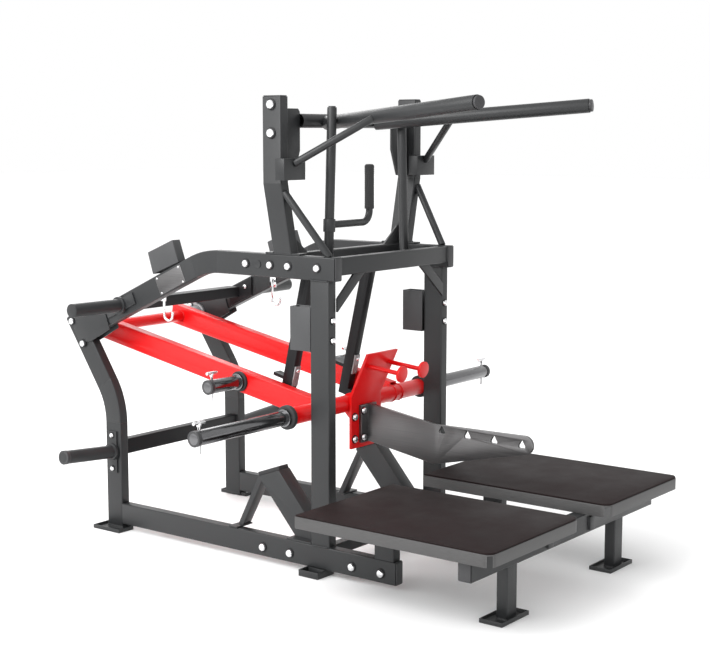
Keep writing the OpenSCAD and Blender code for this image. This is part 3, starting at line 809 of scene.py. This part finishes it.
def sleeveEnds(s):
    # tip, direction, radius and body of each sleeve and horn
    ends = []
    for node in ("weight_sleeves", "short_sleeves"):
        for low, high in looseParts(node):
            out = -1 if low.x < 0 else 1
            tip = low.x if out < 0 else high.x
            middle = (low + high) / 2
            radius = (high.z - low.z) / 2
            ends.append((Vector((tip, middle.y, middle.z)), Vector((out, 0, 0)), radius, "lever"))
    for mount in frame["record"]["mounts"]:
        if mount["kind"] == "pin":
            axis = Vector(mount["axis"])
            tip = Vector(mount["pos_m"]) + axis * s["hornLength"]
            ends.append((tip, axis, mount["dims"]["r_mm"] / 1000, "frame"))
    return ends


def dressSleeves(s):
    rings = {"frame": [], "lever": []}
    faces = {"frame": [], "lever": []}
    for tip, out, radius, body in sleeveEnds(s):
        ring, face = endCap(radius, s)
        spot = standing(tip - out * s["back"], out, 1)
        rings[body].append(copyTo(ring, "part", spot))
        faces[body].append(copyTo(face, "part", spot))
        discard(ring)
        discard(face)
    for body in rings:
        hand(joined(body + "SleeveCaps", rings[body]), body, "cap_plastic", capPlastic)
        hand(joined(body + "SleeveFaces", faces[body]), body, "chrome", brightChrome)


def dressStops(s):
    # a turned collar on each sleeve, next to its rubber stop
    collars = []
    for low, high in looseParts("plate_stops"):
        out = -1 if low.x < 0 else 1
        outer = low.x if out < 0 else high.x
        middle = (low + high) / 2
        collar = newCylinder("collar", s["radius"], s["width"], 56)
        pickFaces(collar, lambda face: abs(face.normal.z) < 0.5)
        bpy.ops.mesh.inset(thickness=s["groove"], depth=s["sink"], use_boundary=True)
        leaveEdit()
        softEdges(collar, s["edge"], 2)
        spot = standing((outer + out * s["width"] / 2, middle.y, middle.z), (out, 0, 0), 1)
        collars.append(copyTo(collar, "part", spot))
        discard(collar)
    hand(joined("sleeveCollars", collars), "lever", "chrome", hardChrome)


dressSleeves(capStyle)
dressStops(collarStyle)
print("sleeves dressed")


# lock handle grip

gripStyle = {"ribs": 18, "rib": 0.965, "foot": 0.06, "ribbed": 0.86, "round": 0.5, "edge": 0.0005}


def ribbedGrip(s):
    low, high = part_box("lock_grip")
    middle = (low + high) / 2
    radius = (high.x - low.x) / 2
    height = high.z - low.z
    foot = height * s["foot"]
    grip = newCylinder("lockGrip", radius, foot, 48)
    bpy.ops.transform.translate(value=(middle.x, middle.y, low.z + foot / 2))
    settle(grip)
    top = low.z + foot
    pickFaces(grip, lambda face: face.center.z > top - 0.001 and face.normal.z > 0.9)
    step = height * s["ribbed"] / (s["ribs"] * 4)
    z = top
    for rib in range(s["ribs"]):
        for grow in (1.0, s["rib"], 1.0, 1 / s["rib"]):
            z += step
            bpy.ops.mesh.extrude_region_move(TRANSFORM_OT_translate={"value": (0, 0, step)})
            bpy.ops.transform.resize(value=(grow, grow, 1), center_override=(middle.x, middle.y, z))
    bpy.ops.mesh.extrude_region_move(TRANSFORM_OT_translate={"value": (0, 0, high.z - z)})
    bpy.ops.mesh.bevel(offset=radius * s["round"], segments=5, affect="EDGES")
    leaveEdit()
    softEdges(grip, s["edge"], 2, 50)
    hand(grip, "lock_handle", "rubber", mouldedRubber, "lock_grip")


ribbedGrip(gripStyle)
print("grip made")


# rivets at the corners of the blank plates

rivetStyle = {"radius": 0.0042, "height": 0.004, "dome": 0.0018, "inset": 0.15}


def plateCorners(outer):
    points = [v.co for v in nodes["blank_plates"].data.vertices if abs(v.co.x - outer) < 0.0002]
    return [min(points, key=lambda p: p.y), max(points, key=lambda p: p.z),
            max(points, key=lambda p: p.y), min(points, key=lambda p: p.z)]


def plateRivets(s):
    rivets = []
    for low, high in looseParts("blank_plates"):
        out = -1 if low.x < 0 else 1
        outer = low.x if out < 0 else high.x
        corners = plateCorners(outer)
        middle = sum(corners, Vector()) / 4
        for corner in corners:
            rivet = newCylinder("rivet", s["radius"], s["height"], 24)
            pickFaces(rivet, lambda face: face.center.z > s["height"] / 4)
            bpy.ops.mesh.bevel(offset=s["dome"], segments=4, affect="EDGES")
            leaveEdit()
            bpy.ops.object.shade_smooth_by_angle(angle=math.radians(40))
            place = corner + (middle - corner) * s["inset"]
            spot = standing((outer, place.y, place.z), (out, 0, 0), 1)
            rivets.append(copyTo(rivet, "part", spot))
            discard(rivet)
    hand(joined("plateRivets", rivets), "frame", "chrome", brightChrome)


plateRivets(rivetStyle)
print("plates riveted")


# latch shoe and its screw on the front face of each catch

shoeStyle = {
    "width": 0.030,
    "height": 0.075,
    "depth": 0.006,
    "edge": 0.001,
    "lean": 13.2,         # degrees from upright, like the catch
    "catch": 0.515,
    "up": 0.085,          # from the catch's foot
    "ahead": 0.020,
    "slotWidth": 0.010,
    "slotHeight": 0.026,
    "slotFoot": -0.030,
    "slotFloor": 0.002,
    "slotRound": 0.0045,
    "screw": 0.013,
    "screwUp": 0.28,
    "screwSunk": 0.0015,
}


def slottedBlock(s):
    half = s["width"] / 2
    shoe = newBlock("shoe", (-half, -s["height"] / 2, 0), (half, s["height"] / 2, s["depth"]))
    half = s["slotWidth"] / 2
    slot = newBlock("slot", (-half, s["slotFoot"], s["slotFloor"]),
                    (half, s["slotFoot"] + s["slotHeight"], 0.02))
    softEdges(slot, s["slotRound"], 4)
    applied(shoe, "BOOLEAN", object=slot, operation="DIFFERENCE", solver="EXACT")
    softEdges(shoe, s["edge"], 2)
    discard(slot)
    return shoe


def latchShoe(side, s):
    joint = next(j for j in frame["joints"] if j["name"] == "catch_" + side + "_swing")
    lean = math.radians(s["lean"])
    down = Vector((0, math.sin(lean), -math.cos(lean)))
    front = Vector((0, -math.cos(lean), -math.sin(lean)))
    along = s["catch"] - s["up"] - s["height"] / 2
    middle = Vector(joint["pos_m"]) + down * along + front * s["ahead"]
    turn = Matrix((Vector((1, 0, 0)), -down.normalized(), front.normalized())).transposed().to_4x4()
    spot = Matrix.Translation(middle) @ turn
    shoe = slottedBlock(s)
    piece = copyTo(shoe, "latchShoe_" + side, spot)
    discard(shoe)
    hand(piece, "catch_" + side, "satin_steel", castSteel)
    seat = Matrix.Translation((0, s["height"] * s["screwUp"], s["depth"] - s["screwSunk"]))
    size = Matrix.Diagonal((s["screw"], s["screw"], s["screw"], 1))
    screw = copyTo(masters[1], "latchScrew_" + side, spot @ seat @ size)
    hand(screw, "catch_" + side, "chrome", brightChrome)


latchShoe("left", shoeStyle)
latchShoe("right", shoeStyle)
for master in masters:
    discard(master)
print("catches dressed")


# the room

roomSetup = {
    "floor": 80.0,
    "key": 150,
    "keyPlace": (-3.6, 0.8, 3.4),
    "keySize": (3.0, 2.4),
    "rear": 60,
    "rearPlace": (2.4, 3.6, 3.4),
    "rearSize": (3.0, 2.0),
    "sky": 1.0,
    "leftGlow": 0.9,      # a bright wall on the left
    "frontShade": 0.12,   # a dimmer one in front
}


def softLight(name, place, target, size, power):
    data = bpy.data.lights.new(name, "AREA")
    data.shape = "RECTANGLE"
    data.size, data.size_y = size
    data.energy = power
    light = bpy.data.objects.new(name, data)
    bpy.context.scene.collection.objects.link(light)
    light.location = place
    light.rotation_euler = (Vector(target) - Vector(place)).to_track_quat("-Z", "Y").to_euler()


def buildFloor(size):
    bpy.ops.object.select_all(action="DESELECT")
    bpy.ops.mesh.primitive_plane_add(size=size, location=(0, 0, 0))
    floor = bpy.context.active_object
    floor.name = "studioFloor"
    material, tree, surface = startFinish("paleFloor", Base_Color=(0.97, 0.97, 0.97, 1), Roughness=0.9)
    floor.data.materials.append(material)


def buildSky(s):
    world = bpy.data.worlds.new("paleRoom")
    bpy.context.scene.world = world
    world.use_nodes = True
    tree = world.node_tree
    sky = tree.nodes["Background"]
    place = addNode(tree, "ShaderNodeTexCoord")
    split = addNode(tree, "ShaderNodeSeparateXYZ")
    tree.links.new(place.outputs["Generated"], split.inputs[0])
    left = spread(tree, split.outputs["X"], s["leftGlow"], 0.0, -0.9, 0.0)
    front = spread(tree, split.outputs["Y"], -s["frontShade"], 0.0, -0.9, 0.0)
    level = mathOf(tree, "ADD", mathOf(tree, "ADD", left, front), s["sky"])
    tree.links.new(level, sky.inputs["Strength"])
    sky.inputs["Color"].default_value = (1, 1, 1, 1)


def buildRoom(s):
    buildFloor(s["floor"])
    softLight("keyLight", s["keyPlace"], (0, 0, 0.7), s["keySize"], s["key"])
    softLight("rearLight", s["rearPlace"], (0, 0, 0.8), s["rearSize"], s["rear"])
    buildSky(s)
    bpy.context.scene.view_settings.view_transform = "Standard"


buildRoom(roomSetup)
print("room built")
